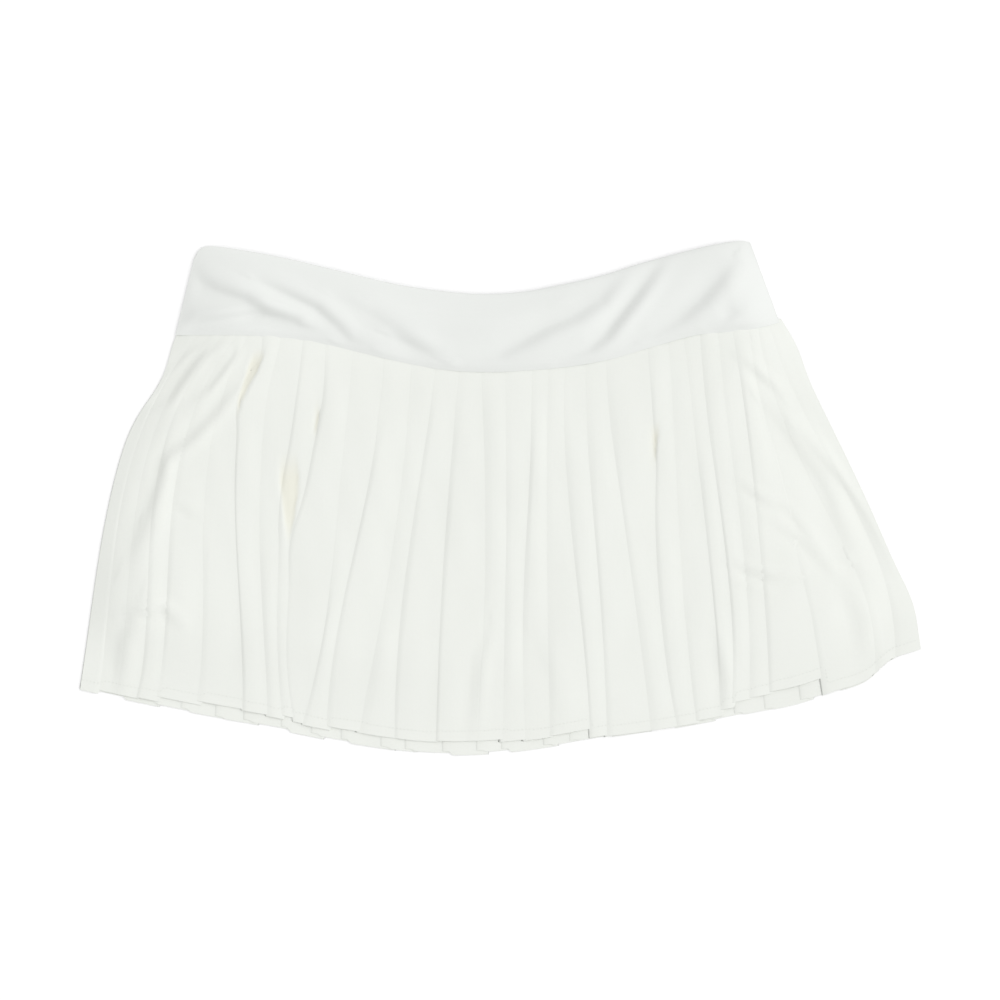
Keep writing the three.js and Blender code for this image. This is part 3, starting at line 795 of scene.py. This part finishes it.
def stitch_row(name, path):
    """Small lozenges of thread along a polyline of points in mm."""
    steps = np.hypot(*np.diff(path, axis=0)[:, :2].T)
    along = np.concatenate([[0], np.cumsum(steps)])
    starts = np.arange(0.5, along[-1] - STITCH, STITCH + STITCH_GAP)
    verts, faces = [], []
    for start in starts:
        a, b = (np.array([np.interp(d, along, path[:, i]) for i in range(3)])
                for d in (start, start + STITCH))
        direction = (b - a) / max(np.linalg.norm(b - a), 1e-6)
        side = np.cross(direction, (0, 0, 1)) * THREAD
        up = np.array((0, 0, 1)) * THREAD
        base = len(verts)
        middle = (a + b) / 2 + up * 1.2
        verts += [a, b, middle + side, middle - side, middle + up, middle - up]
        for p, q in ((2, 4), (4, 3), (3, 5), (5, 2)):
            faces += [(base, base + p, base + q), (base + 1, base + q, base + p)]
    mesh = bpy.data.meshes.new(name)
    mesh.from_pydata((np.array(verts) * MM).tolist(), [], faces)
    mesh.materials.append(thread_white)
    row = bpy.data.objects.new(name, mesh)
    bpy.context.scene.collection.objects.link(row)
    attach(row, "root")
    print(name, len(starts), "stitches")
    return row


def on_face(column):
    """True for the columns of a pleated net that lie on a pleat's visible face."""
    pleat = len(UNDERLAY + RETURN + NOSE + FACE)
    inside = (column - len(MARGIN)) % pleat
    return column < len(MARGIN) or inside >= pleat - len(FACE)


def visible_runs(net):
    """The path of a stitch line over the faces only, at HEM_DEPTH above the hem."""
    points = []
    for column in range(net.shape[1]):
        above_hem = net[:, column, 1] - net[-1, column, 1]
        row = np.interp(-HEM_DEPTH, -above_hem, np.arange(len(net)))
        points.append([np.interp(row, np.arange(len(net)), net[:, column, i]) for i in range(3)])
    points = np.array(points)
    keep = [0]
    for i in range(1, len(points)):
        if points[i, 0] > points[keep[-1], 0] + 0.2 and on_face(i):
            keep.append(i)
    return points[keep]


hem_path = visible_runs(front_net)
hem_path[:, 2] += OFF_FACE
front_stitches = stitch_row("hem_stitches_front", hem_path)
back_path = visible_runs(back_net * (-1, 1, 1))
back_path[:, 0] *= -1
back_path[:, 2] = np.maximum(back_path[:, 2] - OFF_BACK, THREAD)
back_stitches = stitch_row("hem_stitches_back", back_path)

# %% [markdown]
# ## Cloth lengths
# The pleated panels' cloth is about twice as long at the hem as the panel lies wide. The lengths
# printed here are measured along the folded nets.

# %% Cloth lengths
for piece, net in (("front", front_net), ("back", back_net)):
    across = np.linalg.norm(np.diff(net, axis=1), axis=2).sum(1)
    down = np.linalg.norm(np.diff(net, axis=0), axis=2).sum(0)
    print(piece, "cloth along the seam and the hem", across[[0, -1]].round(), "mm, down",
          down.min().round(), "to", down.max().round(), "mm")
